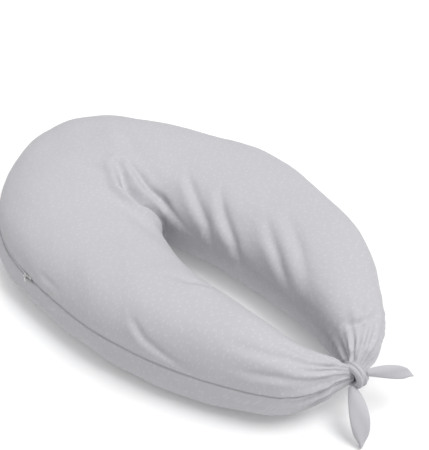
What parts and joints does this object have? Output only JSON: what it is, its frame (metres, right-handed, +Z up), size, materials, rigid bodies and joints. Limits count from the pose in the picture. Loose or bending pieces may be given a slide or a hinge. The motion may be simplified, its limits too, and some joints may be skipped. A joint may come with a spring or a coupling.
{
  "type": "nursing pillow",
  "caption": "Crescent nursing pillow with a zipped cotton cover over a fibre-filled inner cushion, its two ends tied together in a knot.",
  "frame": {"origin": "on the floor, under the middle of the box of the whole object", "axes": "+Z up from the resting face; +X along the pillow's length from the closed bend to the knot; the near arm is on -Y and the far arm on +Y"},
  "size_m": [1.0087, 0.6009, 0.1853],
  "materials": {
    "cover_cotton": "matt plain-weave cotton, pale cool grey with a fine white sprig print",
    "lining_cloth": "thin white lining cloth",
    "fibre": "loose white polyester fibre",
    "zip_tape": "woven grey polyester tape",
    "zip_coil": "nylon coil",
    "zip_metal": "satin nickel"
  },
  "bodies": {
    "cover": {"cover_top_panel": "cover_cotton", "cover_bottom_panel": "cover_cotton", "inner_case_top": "lining_cloth", "inner_case_bottom": "lining_cloth", "fibre_filling": "fibre", "zip_upper_tape": "zip_tape", "zip_lower_tape": "zip_tape", "zip_upper_coil": "zip_coil", "zip_lower_coil": "zip_coil", "zip_closed_stops": "zip_metal", "zip_open_stop": "zip_metal", "near_tie": "cover_cotton", "far_tie": "cover_cotton"},
    "zip_slider": {"zip_slider": "zip_metal"},
    "zip_pull": {"zip_pull": "zip_metal"},
    "near_tail": {"near_tie_tail": "cover_cotton"},
    "far_tail": {"far_tie_tail": "cover_cotton"}
  },
  "joints": [
    {"name": "slider_travel", "type": "hinge", "parent": "cover", "child": "zip_slider", "pos_m": [-0.1313, 0.0914, 0.088], "axis": [0, 0, -1], "range_deg": [0, 53]},
    {"name": "pull_swing", "type": "hinge", "parent": "zip_slider", "child": "zip_pull", "pos_m": [-0.14491, -0.29826, 0.088], "axis": [-0.9994, 0.0349, 0], "range_deg": [0, 170]},
    {"name": "near_tail_lift", "type": "hinge", "parent": "cover", "child": "near_tail", "pos_m": [0.4437, -0.0226, 0.061], "axis": [-0.4993, -0.8664, 0], "range_deg": [0, 80]},
    {"name": "far_tail_lift", "type": "hinge", "parent": "cover", "child": "far_tail", "pos_m": [0.4577, 0.0094, 0.096], "axis": [0.9662, -0.2577, 0], "range_deg": [-40, 60]}
  ]
}
